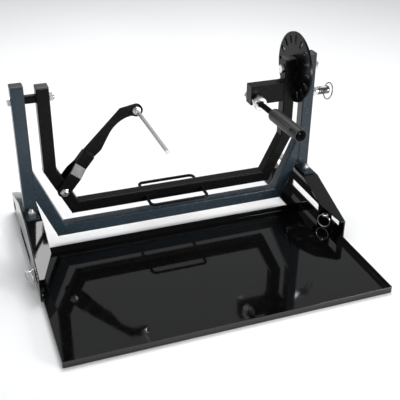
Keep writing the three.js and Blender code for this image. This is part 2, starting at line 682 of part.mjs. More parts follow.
put(stand, 'outer_crossbar', outerCrossbar(), slate);
put(stand, 'drip_tray', dripTray(), gloss);

// Pivot bolts: the left one goes in from outside, the right one from inside.
const PIVOT_FLATS = 19;
const PIVOT_HEAD = 7.5;
const PIVOT_NUT = 11;
const gripLeft = OUTER_HALF - INNER_HALF + TUBE;
const leftBolt = put(stand, 'left_pivot_bolt',
  towards['+X'](hexBolt(PIVOT_FLATS, PIVOT_HEAD, PIVOT_R, gripLeft + 13)), zinc);
leftBolt.position.set(-OUTER_HALF - GAP, 0, PIVOT_Z);
const leftNut = put(stand, 'left_pivot_nut',
  towards['+X'](lockNut(PIVOT_FLATS, PIVOT_NUT, PIVOT_R + GAP)), zinc);
leftNut.position.set(-INNER_HALF + TUBE + GAP, 0, PIVOT_Z);
const rightBolt = put(stand, 'right_pivot_bolt',
  towards['+X'](hexBolt(PIVOT_FLATS, PIVOT_HEAD, PIVOT_R, gripLeft + 13)), zinc);
rightBolt.position.set(INNER_HALF - TUBE - GAP, 0, PIVOT_Z);
const rightNut = put(stand, 'right_pivot_nut',
  towards['+X'](lockNut(PIVOT_FLATS, PIVOT_NUT, PIVOT_R + GAP)), zinc);
rightNut.position.set(OUTER_HALF + GAP, 0, PIVOT_Z);

const spacer = ([x0, x1]) => cut(
  barX(SPACER_R, [x0, x1], 0, PIVOT_Z),
  barX(PIVOT_R + PIVOT_CLEAR, [x0 - 1, x1 + 1], 0, PIVOT_Z),
);
const outerInside = OUTER_HALF - TUBE - GAP;
put(stand, 'left_pivot_spacer', spacer([-outerInside, -INNER_HALF - GAP]), satin);
put(stand, 'right_pivot_spacer', spacer([INNER_HALF + DISC_T + 2 * GAP, outerInside]), zinc);

put(cradle, 'inner_crossbar', innerCrossbar(), satin);
put(cradle, 'index_disc', indexDisc(), satin);
put(cradle, 'front_handle', liftHandle(-1), satin);
put(cradle, 'rear_handle', liftHandle(1), satin);
put(cradle, 'socket_beam', socketBeam(), gloss);

// The stud is held in the beam by a nut and a thick washer in front and a nut behind.
const beamFace = HALF_TUBE + 3 * GAP;
const STUD_NUT = 13.5;
const studNut = () =>
  cut(hexPrism(26, [0, STUD_NUT]), barZ(STUD_R + GAP, [-1, STUD_NUT + 1], 0, 0, 24));
const frontNut = put(adjuster, 'stud_front_nut', towards['-Y'](studNut()), zinc);
frontNut.position.y = -beamFace;
const studWasher = put(adjuster, 'stud_washer',
  towards['-Y'](washer(17, STUD_R + GAP, 12)), zinc);
studWasher.position.y = -beamFace - STUD_NUT - GAP;
const rearNut = put(adjuster, 'stud_rear_nut', towards['+Y'](studNut()), zinc);
rearNut.position.y = beamFace;
put(adjuster, 'socket_stud', barY(STUD_R, [STUD_FRONT, STUD_REAR], 0, 0, 24), satin);
put(adjuster, 'socket_tube', socket(), socketGrey);

put(arm, 'front_fork_leaf', forkLeaf(-1), satin);
put(arm, 'rear_fork_leaf', forkLeaf(1), satin);
put(arm, 'arm_blade', armPlate(), satin);
const forkFace = FORK_STRADDLE + FORK_T + GAP;
const armBolt = put(arm, 'arm_pivot_bolt',
  towards['-Y'](hexBolt(18, 7.5, ARM_PIVOT_R, 2 * forkFace + 12)), zinc);
armBolt.position.y = forkFace;
const armNut = put(arm, 'arm_pivot_nut', towards['-Y'](lockNut(19, 11, ARM_PIVOT_R + GAP)), zinc);
armNut.position.y = -forkFace;

const onRod = (mesh, y) => mesh.position.set(ROD_HOLE.x, y, ROD_HOLE.y);
const bladeFace = ARM_HALF_T + GAP;
const ROD_WASHER = 1.6;
onRod(put(arm, 'rod_front_washer',
  towards['-Y'](washer(10, ROD_R + GAP, ROD_WASHER)), zinc), -bladeFace);
onRod(put(arm, 'rod_front_nut',
  towards['-Y'](lockNut(16, 8, ROD_R + GAP)), zinc), -bladeFace - ROD_WASHER - GAP);
onRod(put(arm, 'rod_rear_nut', towards['+Y'](lockNut(16, 8, ROD_R + GAP)), zinc), bladeFace);
onRod(put(arm, 'clamp_rod', barY(ROD_R, [ROD_FRONT, ROD_REAR], 0, 0, 24), zinc), 0);

// Both lock pins are pushed in towards +X, so the left ring hangs outside its bracket and the
// right one inside.
addLockPin('left', -BRACKET_OUT - 12, 27, THREE.MathUtils.degToRad(28));
addLockPin('right', 369, 26, THREE.MathUtils.degToRad(37));

const plunger = new THREE.Group();
plunger.position.z = INDEX_Z;
stand.add(plunger);
put(plunger, 'plunger_housing', plungerHousing(), zinc);
put(plunger, 'index_pin', indexPin(), steel);
put(plunger, 'pull_knob', pullKnob(), steel);
const pullRing = put(plunger, 'pull_ring', pullRingGeometry(RING_WIRE), zinc);
pullRing.position.x = PULL_RING_X;
pullRing.setRotationFromMatrix(pullRingAxes);

// ---------------------------------------------------------------- origin
// The origin is the middle of the stand's footprint, on the surface it stands on.
const box = new THREE.Box3().setFromObject(stand, true);
stand.position.set(-(box.min.x + box.max.x) / 2, -(box.min.y + box.max.y) / 2, -box.min.z);

export default stand;
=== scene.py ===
"""Bench-top engine assembly stand: the looks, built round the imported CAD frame. Metres, +Z up."""

import json
import math

import bmesh
import bpy
import numpy as np
from mathutils import Euler, Matrix, Vector
from mathutils.geometry import convex_hull_2d


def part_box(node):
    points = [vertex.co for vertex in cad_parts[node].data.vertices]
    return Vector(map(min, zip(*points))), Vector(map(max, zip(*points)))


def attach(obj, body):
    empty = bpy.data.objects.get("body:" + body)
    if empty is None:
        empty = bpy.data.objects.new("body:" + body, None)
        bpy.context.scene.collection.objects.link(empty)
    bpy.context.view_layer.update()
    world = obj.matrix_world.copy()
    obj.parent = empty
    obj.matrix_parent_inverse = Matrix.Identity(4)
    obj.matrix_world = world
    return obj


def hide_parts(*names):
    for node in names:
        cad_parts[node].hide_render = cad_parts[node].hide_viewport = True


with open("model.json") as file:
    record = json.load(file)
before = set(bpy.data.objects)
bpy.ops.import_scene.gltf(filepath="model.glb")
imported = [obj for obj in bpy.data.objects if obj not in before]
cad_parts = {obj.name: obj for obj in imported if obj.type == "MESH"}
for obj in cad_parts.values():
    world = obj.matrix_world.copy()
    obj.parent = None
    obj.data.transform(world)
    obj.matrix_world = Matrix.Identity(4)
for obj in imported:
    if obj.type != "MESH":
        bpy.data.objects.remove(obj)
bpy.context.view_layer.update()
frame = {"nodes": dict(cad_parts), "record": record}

MM = 0.001
NODES = frame["nodes"]
RECORD = frame["record"]
BODY_OF = {node: body for body, nodes in RECORD["behaviour"]["bodies"].items() for node in nodes}
SLOT_OF = {part["node"]: part["material_slot"] for part in RECORD["subparts"]}
# The beam is duller than the rest of its slot, and the pull ring is steel like its knob.
FINISH_OF = {**SLOT_OF, "socket_beam": "satin_black", "pull_ring": "bright_steel"}
X, Y, Z = Vector((1, 0, 0)), Vector((0, 1, 0)), Vector((0, 0, 1))

TUBE = 30 * MM
TUBE_WALL = 2 * MM
TUBE_CORNER = 3 * MM  # outside radius of the square tube's corners
LEG_HEIGHT = 55 * MM  # a bracket's end, below which its upper edge isn't folded
FOLD = 2.8 * MM  # outside radius of a sheet's folds

# ---------------------------------------------------------------- camera
CAMERA_PLACE = Vector((-0.5485, -1.4836, 1.0399))
CAMERA_HEADING = math.radians(20.48)  # to the right of +Y
CAMERA_DOWN = math.radians(29.71)
CAMERA_ROLL = math.radians(0.69)

camera_data = bpy.data.cameras.new("camera")
camera_data.lens = 67.26
camera_data.sensor_width = 36
camera = bpy.data.objects.new("camera", camera_data)
aim = Euler((math.pi / 2 - CAMERA_DOWN, 0, -CAMERA_HEADING)).to_matrix()
camera.rotation_euler = (aim @ Matrix.Rotation(CAMERA_ROLL, 3, "Z")).to_euler()
camera.location = CAMERA_PLACE
bpy.context.scene.collection.objects.link(camera)
bpy.context.scene.camera = camera


# ---------------------------------------------------------------- materials
class Shader:
    """A node material under construction, in the object's own coordinates (metres)."""

    def __init__(self, name):
        self.material = bpy.data.materials.new(name)
        self.material.use_nodes = True
        self.tree = self.material.node_tree
        self.surface = self.tree.nodes["Principled BSDF"]
        self.place = self.add("ShaderNodeTexCoord").outputs["Object"]

    def add(self, kind, **settings):
        node = self.tree.nodes.new(kind)
        for key, value in settings.items():
            setattr(node, key, value)
        return node

    def link(self, output, target):
        self.tree.links.new(output, target)

    def stretched(self, x, y, z):
        mapping = self.add("ShaderNodeMapping")
        mapping.inputs["Scale"].default_value = (x, y, z)
        self.link(self.place, mapping.inputs["Vector"])
        return mapping.outputs["Vector"]

    def noise(self, scale, detail=3.0, roughness=0.5, place=None):
        node = self.add("ShaderNodeTexNoise")
        node.inputs["Scale"].default_value = scale
        node.inputs["Detail"].default_value = detail
        node.inputs["Roughness"].default_value = roughness
        self.link(place or self.place, node.inputs["Vector"])
        return node.outputs["Fac"]

    def spread(self, value, low, high, start=0.3, end=0.7):
        """Values of a texture between start and end, spread from low to high."""
        node = self.add("ShaderNodeMapRange")
        node.inputs["From Min"].default_value = start
        node.inputs["From Max"].default_value = end
        node.inputs["To Min"].default_value = low
        node.inputs["To Max"].default_value = high
        self.link(value, node.inputs["Value"])
        return node.outputs["Result"]

    def sum(self, a, b, operation="ADD"):
        node = self.add("ShaderNodeMath", operation=operation)
        self.link(a, node.inputs[0])
        self.link(b, node.inputs[1])
        return node.outputs[0]

    def tint(self, factor, first, second):
        node = self.add("ShaderNodeMix", data_type="RGBA")
        node.inputs[6].default_value = (*first, 1)
        node.inputs[7].default_value = (*second, 1)
        self.link(factor, node.inputs["Factor"])
        return node.outputs[2]

    def blend(self, factor, first, second):
        node = self.add("ShaderNodeMix", data_type="RGBA")
        self.link(factor, node.inputs["Factor"])
        self.link(first, node.inputs[6])
        node.inputs[7].default_value = (*second, 1)
        return node.outputs[2]

    def bump(self, height, strength, distance):
        node = self.add("ShaderNodeBump")
        node.inputs["Strength"].default_value = strength
        node.inputs["Distance"].default_value = distance
        self.link(height, node.inputs["Height"])
        self.link(node.outputs["Normal"], self.surface.inputs["Normal"])

    def set(self, **values):
        for key, value in values.items():
            self.surface.inputs[key.replace("_", " ")].default_value = value

    def rough(self, value):
        self.link(value, self.surface.inputs["Roughness"])

    def colour(self, value):
        self.link(value, self.surface.inputs["Base Color"])


def powder_coat(name, dark, light, shine, peel, gloss):
    """Powder coat: a faint orange peel, fine flake in the colour, handling marks and dust."""
    s = Shader(name)
    flake = s.spread(s.noise(2600, 2), 0, 1)
    cloud = s.spread(s.noise(9, 4), 0, 1)
    scuff = s.spread(s.noise(14, 8, 0.72, s.stretched(1, 5, 2)), 0, 1, 0.64, 0.84)
    dust = s.spread(s.noise(420, 6, 0.8), 0, 1, 0.70, 0.82)
    body = s.tint(s.sum(flake, cloud, "MULTIPLY"), dark, light)
    s.colour(s.blend(s.spread(dust, 0, 0.05, 0, 1), body, (0.20, 0.20, 0.20)))
    grain = s.spread(s.noise(60, 3), -0.02, 0.03)
    marks = s.spread(scuff, shine, shine + 0.06, 0, 1)
    s.rough(s.sum(s.sum(marks, grain), s.spread(dust, 0, 0.10, 0, 1)))
    s.bump(s.sum(s.noise(620, 2), s.spread(s.noise(2400, 1), 0, 0.25)), peel, 0.12 * MM)
    s.set(Specular_IOR_Level=gloss)
    return s.material


def plated_metal(name, warm, cool, shine):
    """Bright plating: a mottled tint, fine drawn lines and a soft gloss."""
    s = Shader(name)
    s.colour(s.tint(s.spread(s.noise(130, 5, 0.6), 0, 1), warm, cool))
    lines = s.noise(60, 3, 0.6, s.stretched(14, 90, 14))
    s.rough(s.sum(s.spread(lines, shine - 0.06, shine + 0.08), s.spread(s.noise(900, 2), 0, 0.05)))
    s.bump(s.sum(lines, s.noise(1500, 2)), 0.06, 0.1 * MM)
    s.set(Metallic=1.0)
    return s.material


def turned_steel(name):
    """Bright steel with the fine rings that a lathe tool leaves across X."""
    s = Shader(name)
    rings = s.noise(40, 2, 0.6, s.stretched(120, 0.6, 0.6))
    stain = s.spread(s.noise(70, 6, 0.65), 0, 1, 0.45, 0.75)
    s.colour(s.tint(stain, (0.17, 0.17, 0.175), (0.10, 0.10, 0.10)))
    s.rough(s.spread(rings, 0.16, 0.30))
    s.bump(rings, 0.12, 0.1 * MM)
    s.set(Metallic=1.0)
    return s.material


def oxide_grey(name):
    """Dark grey satin finish with faint turning marks and rubbed patches."""
    s = Shader(name)
    patches = s.spread(s.noise(34, 6, 0.68), 0, 1)
    flake = s.spread(s.noise(2200, 2), 0, 1)
    body = s.tint(s.sum(patches, flake, "MULTIPLY"), (0.016, 0.016, 0.017), (0.030, 0.030, 0.031))
    rubbed = s.spread(s.noise(22, 8, 0.7, s.stretched(3, 1, 3)), 0, 0.5, 0.62, 0.75)
    s.colour(s.blend(rubbed, body, (0.05, 0.05, 0.05)))
    turned = s.noise(40, 2, 0.6, s.stretched(0.8, 130, 0.8))
    s.rough(s.spread(turned, 0.36, 0.50))
    s.bump(s.sum(turned, s.noise(1100, 3)), 0.10, 0.12 * MM)
    s.set(Metallic=0.1, Specular_IOR_Level=0.32)
    return s.material


def moulded_plastic(name):
    """Black moulded plastic: a fine spark-eroded grain and a little dust."""
    s = Shader(name)
    dust = s.spread(s.noise(300, 6, 0.8), 0, 0.35, 0.62, 0.78)
    body = s.tint(s.spread(s.noise(25, 3), 0, 1), (0.012, 0.012, 0.013), (0.022, 0.022, 0.023))
    s.colour(s.blend(dust, body, (0.25, 0.25, 0.24)))
    s.rough(s.spread(s.noise(500, 3), 0.36, 0.52))
    s.bump(s.noise(3200, 2), 0.35, 0.06 * MM)
    return s.material


MATERIALS = {
    "slate_paint": powder_coat("slate_paint", (0.017, 0.028, 0.038), (0.030, 0.045, 0.058), 0.26, 0.10, 0.34),
    "gloss_black": powder_coat("gloss_black", (0.002, 0.002, 0.002), (0.004, 0.004, 0.004), 0.05, 0.02, 0.62),
    "satin_black": powder_coat("satin_black", (0.003, 0.003, 0.003), (0.006, 0.006, 0.006), 0.26, 0.08, 0.11),
    "black_plastic": moulded_plastic("black_plastic"),
    "socket_grey": oxide_grey("socket_grey"),
    "bright_steel": turned_steel("bright_steel"),
    "zinc": plated_metal("zinc", (0.80, 0.79, 0.76), (0.71, 0.73, 0.75), 0.22),
}


# ---------------------------------------------------------------- meshes
def finished(name, bm, sharp=32):
    """An object from a bmesh, smooth apart from edges sharper than an angle in degrees."""
    bmesh.ops.recalc_face_normals(bm, faces=bm.faces)
    mesh = bpy.data.meshes.new(name)
    bm.to_mesh(mesh)
    bm.free()
    mesh.polygons.foreach_set("use_smooth", [True] * len(mesh.polygons))
    mesh.set_sharp_from_angle(angle=math.radians(sharp))
    piece = bpy.data.objects.new(name, mesh)
    bpy.context.scene.collection.objects.link(piece)
    weighted = piece.modifiers.new("weighted normals", "WEIGHTED_NORMAL")
    weighted.keep_sharp = True
    return piece


def stands_for(piece, node):
    """The piece takes a CAD node's place, body and finish."""
    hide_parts(node)
    added_to(piece, node)
    return piece


def added_to(piece, node):
    """The piece is a detail on a CAD node: it has that node's body and finish."""
    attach(piece, BODY_OF[node])
    piece.data.materials.append(MATERIALS[FINISH_OF[node]])
    return piece


def points_of(node):
    """A CAD node's vertices as an array."""
    return np.array([v.co for v in NODES[node].data.vertices])


def centre(node):
    low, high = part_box(node)
    return (low + high) / 2


def bridge(bm, first, second):
    """Quads between two closed rings of vertices."""
    for i in range(len(first)):
        j = (i + 1) % len(first)
        bm.faces.new((first[i], first[j], second[j], second[i]))


def rounded_rectangle(half_a, half_b, radius, steps=6):
    """Points round a rectangle with round corners, centred on zero."""
    points = []
    for quarter, (sa, sb) in enumerate([(1, 1), (-1, 1), (-1, -1), (1, -1)]):
        for i in range(steps + 1):
            turn = (quarter + i / steps) * math.pi / 2
            points.append((
                sa * (half_a - radius) + radius * math.cos(turn),
                sb * (half_b - radius) + radius * math.sin(turn),
            ))
    return points


# ---------------------------------------------------------------- square tube
def tube_ends(node):
    """The four outer corners of a tube in the plane y = 0: its start edge and its end edge."""
    cloud = points_of(node)
    face = cloud[cloud[:, 1] < cloud[:, 1].min() + 1e-5][:, [0, 2]]
    hull = [Vector(face[i]) for i in convex_hull_2d([tuple(p) for p in face])]
    middle = sum(hull, Vector((0, 0))) / len(hull)
    hull.sort(key=lambda p: math.atan2(p.y - middle.y, p.x - middle.x))
    corners = [p for i, p in enumerate(hull) if (p - hull[i - 1]).length > 0.5 * MM]
    sides = [(corners[(i + 1) % 4] - corners[i]).length for i in range(4)]
    first = sides.index(max(sides))
    a, b, c, d = (corners[(first + i) % 4] for i in range(4))
    return (a, d), (b, c)


def tube_ring(edge, half, radius, inset, middle_y):
    """The tube's rounded section where it is cut along an edge, as points in space."""
    start, end = edge
    ring = []
    for a, b in rounded_rectangle(half - inset, half - inset, radius):
        spot = start.lerp(end, 0.5 + a / (2 * half))
        ring.append(Vector((spot.x, middle_y + b, spot.y)))
    return ring


def square_tube(node):
    """A hollow square tube with round corners, cut at each end as its CAD node is."""
    start, end = tube_ends(node)
    middle_y = centre(node).y
    half = TUBE / 2
    bm = bmesh.new()
    rings = []
    for inset, radius in ((0, TUBE_CORNER), (TUBE_WALL, TUBE_CORNER - TUBE_WALL)):
        for edge in (start, end):
            rings.append([bm.verts.new(p) for p in tube_ring(edge, half, radius, inset, middle_y)])
    outer_start, outer_end, inner_start, inner_end = rings
    bridge(bm, outer_start, outer_end)
    bridge(bm, inner_end, inner_start)
    bridge(bm, inner_start, outer_start)
    bridge(bm, outer_end, inner_end)
    return stands_for(finished(node + "_tube", bm), node)


def weld_bead(name, path, radius, node, closed=True):
    """A weld bead along a path of points: overlapping ripples, a little uneven."""
    rng = np.random.default_rng(len(name) * 7919 + len(path))
    spots = list(path) + ([path[0]] if closed else [])
    lengths = [(b - a).length for a, b in zip(spots, spots[1:])]
    total = sum(lengths)
    count = max(12, int(total / (0.55 * radius)))
    ring_size = 8
    stops = np.concatenate([[0], np.cumsum(lengths)])
    coordinates = np.array(spots)

    def at(distance):
        distance = distance % total if closed else min(max(distance, 0), total)
        return Vector([np.interp(distance, stops, coordinates[:, k]) for k in range(3)])

    bm = bmesh.new()
    rings = []
    steps = count if closed else count + 1
    for i in range(steps):
        travel = total * i / count
        here = at(travel)
        ahead = (at(travel + radius) - at(travel - radius)).normalized()
        side = ahead.cross(Z if abs(ahead.z) < 0.9 else X).normalized()
        up = side.cross(ahead)
        ripple = 0.86 + 0.14 * abs(math.sin(math.pi * travel / (1.9 * radius)))
        size = radius * ripple * (1 + 0.05 * rng.standard_normal())
        if not closed:
            size *= min(1, 0.35 + 2.2 * min(i, count - i) / 6)
        rings.append([
            bm.verts.new(here + size * (math.cos(t) * side + math.sin(t) * up))
            for t in (2 * math.pi * k / ring_size for k in range(ring_size))
        ])
    for first, second in zip(rings, rings[1:]):
        bridge(bm, first, second)
    if closed:
        bridge(bm, rings[-1], rings[0])
    else:
        bm.faces.new(rings[0])
        bm.faces.new(rings[-1])
    return added_to(finished(name, bm, 80), node)


OUTER_TUBES = ("left_outer_upright", "right_outer_upright", "left_outer_diagonal",
               "right_outer_diagonal", "outer_crossbar")
INNER_TUBES = ("left_inner_upright", "right_inner_upright", "left_inner_diagonal",
               "right_inner_diagonal", "inner_crossbar")
for tube in OUTER_TUBES + INNER_TUBES:
    square_tube(tube)

MITRE_BEAD = 1.3 * MM
for diagonal in ("left_outer_diagonal", "right_outer_diagonal",
                 "left_inner_diagonal", "right_inner_diagonal"):
    for which, edge in zip("ab", tube_ends(diagonal)):
        seam = tube_ring(edge, TUBE / 2, TUBE_CORNER, 0.5 * MM, centre(diagonal).y)
        weld_bead(f"{diagonal}_weld_{which}", seam, MITRE_BEAD, diagonal)


# ---------------------------------------------------------------- sheet and plate
def dressed(node, edge, folds=None, fold=FOLD, segments=3, sharp=32):
    """A copy of a CAD node with its facets joined, its folds rolled and its edges eased.

    folds(a, b) says whether the edge from a to b is a fold of the sheet.
    """
    bm = bmesh.new()
    bm.from_mesh(NODES[node].data)
    bmesh.ops.remove_doubles(bm, verts=bm.verts, dist=1e-6)
    bmesh.ops.dissolve_limit(bm, angle_limit=math.radians(1), verts=bm.verts, edges=bm.edges)
    if folds:
        rolled = [e for e in bm.edges
                  if e.calc_face_angle(0) > 0.2 and folds(e.verts[0].co, e.verts[1].co)]
        bmesh.ops.bevel(bm, geom=rolled, offset=fold, segments=6, profile=0.5, affect="EDGES")
    piece = finished(node + "_dressed", bm, sharp)
    piece.modifiers.remove(piece.modifiers[0])
    ease = piece.modifiers.new("eased edges", "BEVEL")
    ease.limit_method = "ANGLE"
    ease.angle_limit = math.radians(35)
    ease.width = edge
    ease.segments = segments
    ease.miter_outer = "MITER_ARC"
    ease.use_clamp_overlap = True
    weighted = piece.modifiers.new("weighted normals", "WEIGHTED_NORMAL")
    weighted.keep_sharp = True
    return stands_for(piece, node)


def bracket_folds(node):
    low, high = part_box(node)
    outer = low.x if abs(low.x) > abs(high.x) else high.x
    leg = low.z + LEG_HEIGHT

    def is_fold(a, b):
        on_plate = abs(a.x - outer) < 1e-5 and abs(b.x - outer) < 1e-5
        along = abs(a.y - b.y) > 20 * MM
        on_top = min(a.z, b.z) > leg
        below = max(a.z, b.z) < low.z + 1e-5 and min(a.y, b.y) > low.y + 100 * MM
        return on_plate and along and (on_top or below)

    return is_fold


def tray_folds(a, b):
    """The tray's four upright outer corners."""
    low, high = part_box("drip_tray")
    upright = abs(a.x - b.x) + abs(a.y - b.y) < 1e-6
    at_corner = all(min(abs(p.x - low.x), abs(p.x - high.x)) < 1e-5
                    and min(abs(p.y - low.y), abs(p.y - high.y)) < 1e-5 for p in (a, b))
    return upright and at_corner


for bracket in ("left_side_bracket", "right_side_bracket"):
    dressed(bracket, 0.45 * MM, bracket_folds(bracket))
dressed("drip_tray", 0.4 * MM, tray_folds, 2.5 * MM)
for plate in ("left_foot_plate", "right_foot_plate"):
    dressed(plate, 0.7 * MM)
for leaf in ("front_fork_leaf", "rear_fork_leaf"):
    dressed(leaf, 0.6 * MM, sharp=12)
dressed("arm_blade", 0.8 * MM)
dressed("socket_beam", 2.2 * MM, segments=5)


def tube_cap(node):
    """A moulded plug in the tube's end: a low crown with a rolled edge."""
    low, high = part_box(node)
    spot = centre(node)
    rim = high.z - 4 * MM
    bm = bmesh.new()
    crown = ((13.0, -12.0), (13.0, 0.0), (15.0, 0.0), (15.0, 2.3), (14.75, 3.0), (14.2, 3.5), (13.2, 3.8),
             (11.0, 3.95), (7.0, 4.0))
    rings = []
    for half, lift in crown:
        radius = max(0.8, half - 12) if half > 13 else 1.5
        rings.append([
            bm.verts.new((spot.x + a * MM, spot.y + b * MM, rim + lift * MM))
            for a, b in rounded_rectangle(half, half, radius)
        ])
    for first, second in zip(rings, rings[1:]):
        bridge(bm, first, second)
    bm.faces.new(rings[0])
    bm.faces.new(rings[-1])
    return stands_for(finished(node + "_cap", bm, 50), node)


for cap in ("left_outer_cap", "right_outer_cap", "left_inner_cap", "right_inner_cap"):
    tube_cap(cap)


# ---------------------------------------------------------------- turned pieces
def frame_along(axis, origin):
    """A matrix that turns local +Z to an axis and moves the origin to a point."""
    return Matrix.Translation(origin) @ axis.to_track_quat("Z", "Y").to_matrix().to_4x4()


def lathe(name, profile, axis, origin, segments=64):
    """A solid of revolution: profile is (radius, height) along the axis, open on the axis."""
    bm = bmesh.new()
    rings = []
    for radius, height in profile:
        if radius < 1e-7:
            rings.append([bm.verts.new((0, 0, height))])
        else:
            turns = (2 * math.pi * k / segments for k in range(segments))
            rings.append([bm.verts.new((radius * math.cos(t), radius * math.sin(t), height))
                          for t in turns])
    for first, second in zip(rings, rings[1:]):
        if len(first) == 1 and len(second) == 1:
            continue
        if len(first) == 1 or len(second) == 1:
            tip, ring = (first[0], second) if len(first) == 1 else (second[0], first)
            for i in range(len(ring)):
                bm.faces.new((tip, ring[i], ring[(i + 1) % len(ring)]))
        else:
            bridge(bm, first, second)
    bm.transform(frame_along(axis, origin))
    return finished(name, bm, 40)


def chamfered(radius, bottom, top, chamfer):
    """The profile of a solid round bar with a chamfer at each end."""
    return [(0, bottom), (radius - chamfer, bottom), (radius, bottom + chamfer),
            (radius, top - chamfer), (radius - chamfer, top), (0, top)]


def annular(outer, inner, bottom, top, ease):
    """The profile of a ring or a sleeve with eased edges, closed on itself."""
    return [(inner, bottom + ease), (inner + ease, bottom), (outer - ease, bottom),
            (outer, bottom + ease), (outer, top - ease), (outer - ease, top),
            (inner + ease, top), (inner, top - ease), (inner, bottom + ease)]


def hexagon_radius(flats, turn):
    """How far a hexagon's side is from its middle, at a turn from a corner."""
    return flats / 2 / math.cos((turn + math.pi / 6) % (math.pi / 3) - math.pi / 6)


def hexagon(name, flats, low, high, bore, axis, origin, turn=0.0, dish=0.0, segments=72):
    """A hexagon nut or bolt head: its corners are rounded off by a 30 degree chamfer.

    bore is its hole's radius, or 0 for a head, whose top is dished a little.
    """
    flat = 0.97 * flats / 2
    bm = bmesh.new()
    turns = [2 * math.pi * k / segments for k in range(segments)]

    def ring(radius, height):
        return [bm.verts.new((radius(t) * math.cos(t + turn), radius(t) * math.sin(t + turn),
                              height(t))) for t in turns]

    def drop(t):
        return (hexagon_radius(flats, t) - flat) * math.tan(math.radians(30))

    def side(t):
        return hexagon_radius(flats, t)

    rings = [
        ring(lambda t: flat, lambda t: low),
        ring(side, lambda t: low + drop(t)),
        ring(side, lambda t: high - drop(t)),
        ring(lambda t: flat, lambda t: high),
    ]
    if bore:
        ease = 0.08 * flats / 2
        rings.append(ring(lambda t: bore + ease, lambda t: high))
        rings.append(ring(lambda t: bore, lambda t: high - ease))
        rings.append(ring(lambda t: bore, lambda t: low + ease))
        rings.append(ring(lambda t: bore + ease, lambda t: low))
    else:
        rings.append(ring(lambda t: 0.72 * flat, lambda t: high))
        rings.append(ring(lambda t: 0.60 * flat, lambda t: high - dish))
    for first, second in zip(rings, rings[1:]):
        bridge(bm, first, second)
    if bore:
        bridge(bm, rings[-1], rings[0])
    else:
        bm.faces.new(rings[0])
        bm.faces.new(rings[-1])
    bm.transform(frame_along(axis, origin))
    return finished(name, bm, 25)


def merged(name, pieces):
    """One object made of several."""
    bm = bmesh.new()
    for piece in pieces:
        bm.from_mesh(piece.data)
        bpy.data.objects.remove(piece)
    return finished(name, bm)


def thread(name, radius, pitch, low, high, axis, origin, segments=28):
    """A threaded bar: a V thread 0.55 of its pitch deep, run out at both ends."""
    per_turn = 6
    depth = 0.55 * pitch
    rows = max(2, int((high - low) / pitch * per_turn))
    bm = bmesh.new()
    rings = []
    for row in range(rows + 1):
        height = low + (high - low) * row / rows
        from_end = min(height - low, high - height)
        fade = min(1, from_end / (0.8 * pitch))
        ring = []
        for k in range(segments):
            turn = 2 * math.pi * k / segments
            wave = abs(((height / pitch - k / segments) % 1) * 2 - 1)
            r = radius - depth * (1 - fade) * 0.8 - depth * fade * max(0, min(1, 1.25 * wave - 0.125))
            ring.append(bm.verts.new((r * math.cos(turn), r * math.sin(turn), height)))
        rings.append(ring)
    for first, second in zip(rings, rings[1:]):
        bridge(bm, first, second)
    bm.faces.new(rings[0])
    bm.faces.new(rings[-1])
    bm.transform(frame_along(axis, origin))
    return finished(name, bm, 75)


def seat(node, axis):
    """The middle of a node's lower end along an axis, and its length along it."""
    spot = centre(node)
    along = points_of(node) @ np.array(axis)
    return spot + axis * (along.min() - spot.dot(axis)), along.max() - along.min()


# Nuts on bolts and studs: (node, axis, across flats, bore, turn of the hexagon)
STUD_AXIS = Vector(np.linalg.svd(points_of("socket_stud") - points_of("socket_stud").mean(0),
                                 full_matrices=False)[2][0])
if STUD_AXIS.y > 0:
    STUD_AXIS = -STUD_AXIS
NUTS = [
    ("stud_front_nut", STUD_AXIS, 26, 7.2, 0.20),
    ("stud_rear_nut", STUD_AXIS, 26, 7.2, 0.45),
    ("arm_pivot_nut", -Y, 19, 6.2, 0.35),
    ("rod_front_nut", -Y, 16, 5.2, 0.10),
    ("rod_rear_nut", Y, 16, 5.2, 0.30),
    ("left_pivot_nut", X, 19, 6.2, 0.15),
    ("right_pivot_nut", X, 19, 6.2, 0.40),
]
NUTS += [(f"{side}_{end}_foot_nut", Z, 17, 5.2, turn)
         for side, end, turn in (("left", "front", 0.1), ("left", "rear", 0.5),
                                 ("right", "front", 0.3), ("right", "rear", 0.7))]


def lock_nut(node, axis, flats, bore, turn):
    """A hexagon nut; all but the socket stud's have a round locking collar on top."""
    start, height = seat(node, axis)
    flats, bore = flats * MM, bore * MM
    if node.startswith("stud_"):
        piece = hexagon(node + "_hex", flats, 0, height, bore, axis, start, turn)
    else:
        body = 0.70 * height
        hexed = hexagon(node + "_body", flats, 0, body, bore, axis, start, turn)
        collar = 0.43 * flats
        profile = [(bore, body - 0.5 * MM), (collar, body - 0.5 * MM), (collar, height - 1.2 * MM),
                   (collar - 0.4 * MM, height - 0.4 * MM), (collar - 1.2 * MM, height),
                   (bore + 0.3 * MM, height), (bore, height - 0.3 * MM), (bore, body - 0.5 * MM)]
        ring = lathe(node + "_collar", profile, axis, start)
        piece = merged(node + "_hex", [hexed, ring])
    return stands_for(piece, node)


for spec in NUTS:
    lock_nut(*spec)


def bolt(node, axis, flats, head, shank, pitch, thread_from, turn):
    """A hexagon bolt: dished head, plain shank, then thread to its tip. Sizes in millimetres."""
    start, length = seat(node, axis)
    flats, head, shank, pitch, thread_from = (v * MM for v in (flats, head, shank, pitch, thread_from))
    top = hexagon(node + "_head", flats, 0, head, 0, -axis, start + axis * head, turn, 0.5 * MM)
    body = lathe(node + "_shank", chamfered(shank - 0.05 * MM, head - 0.5 * MM, thread_from, 0.2 * MM),
                 axis, start, 48)
    tip = thread(node + "_thread", shank - 0.05 * MM, pitch, thread_from - 0.5 * MM, length, axis, start)
    return stands_for(merged(node + "_bolt", [top, body, tip]), node)


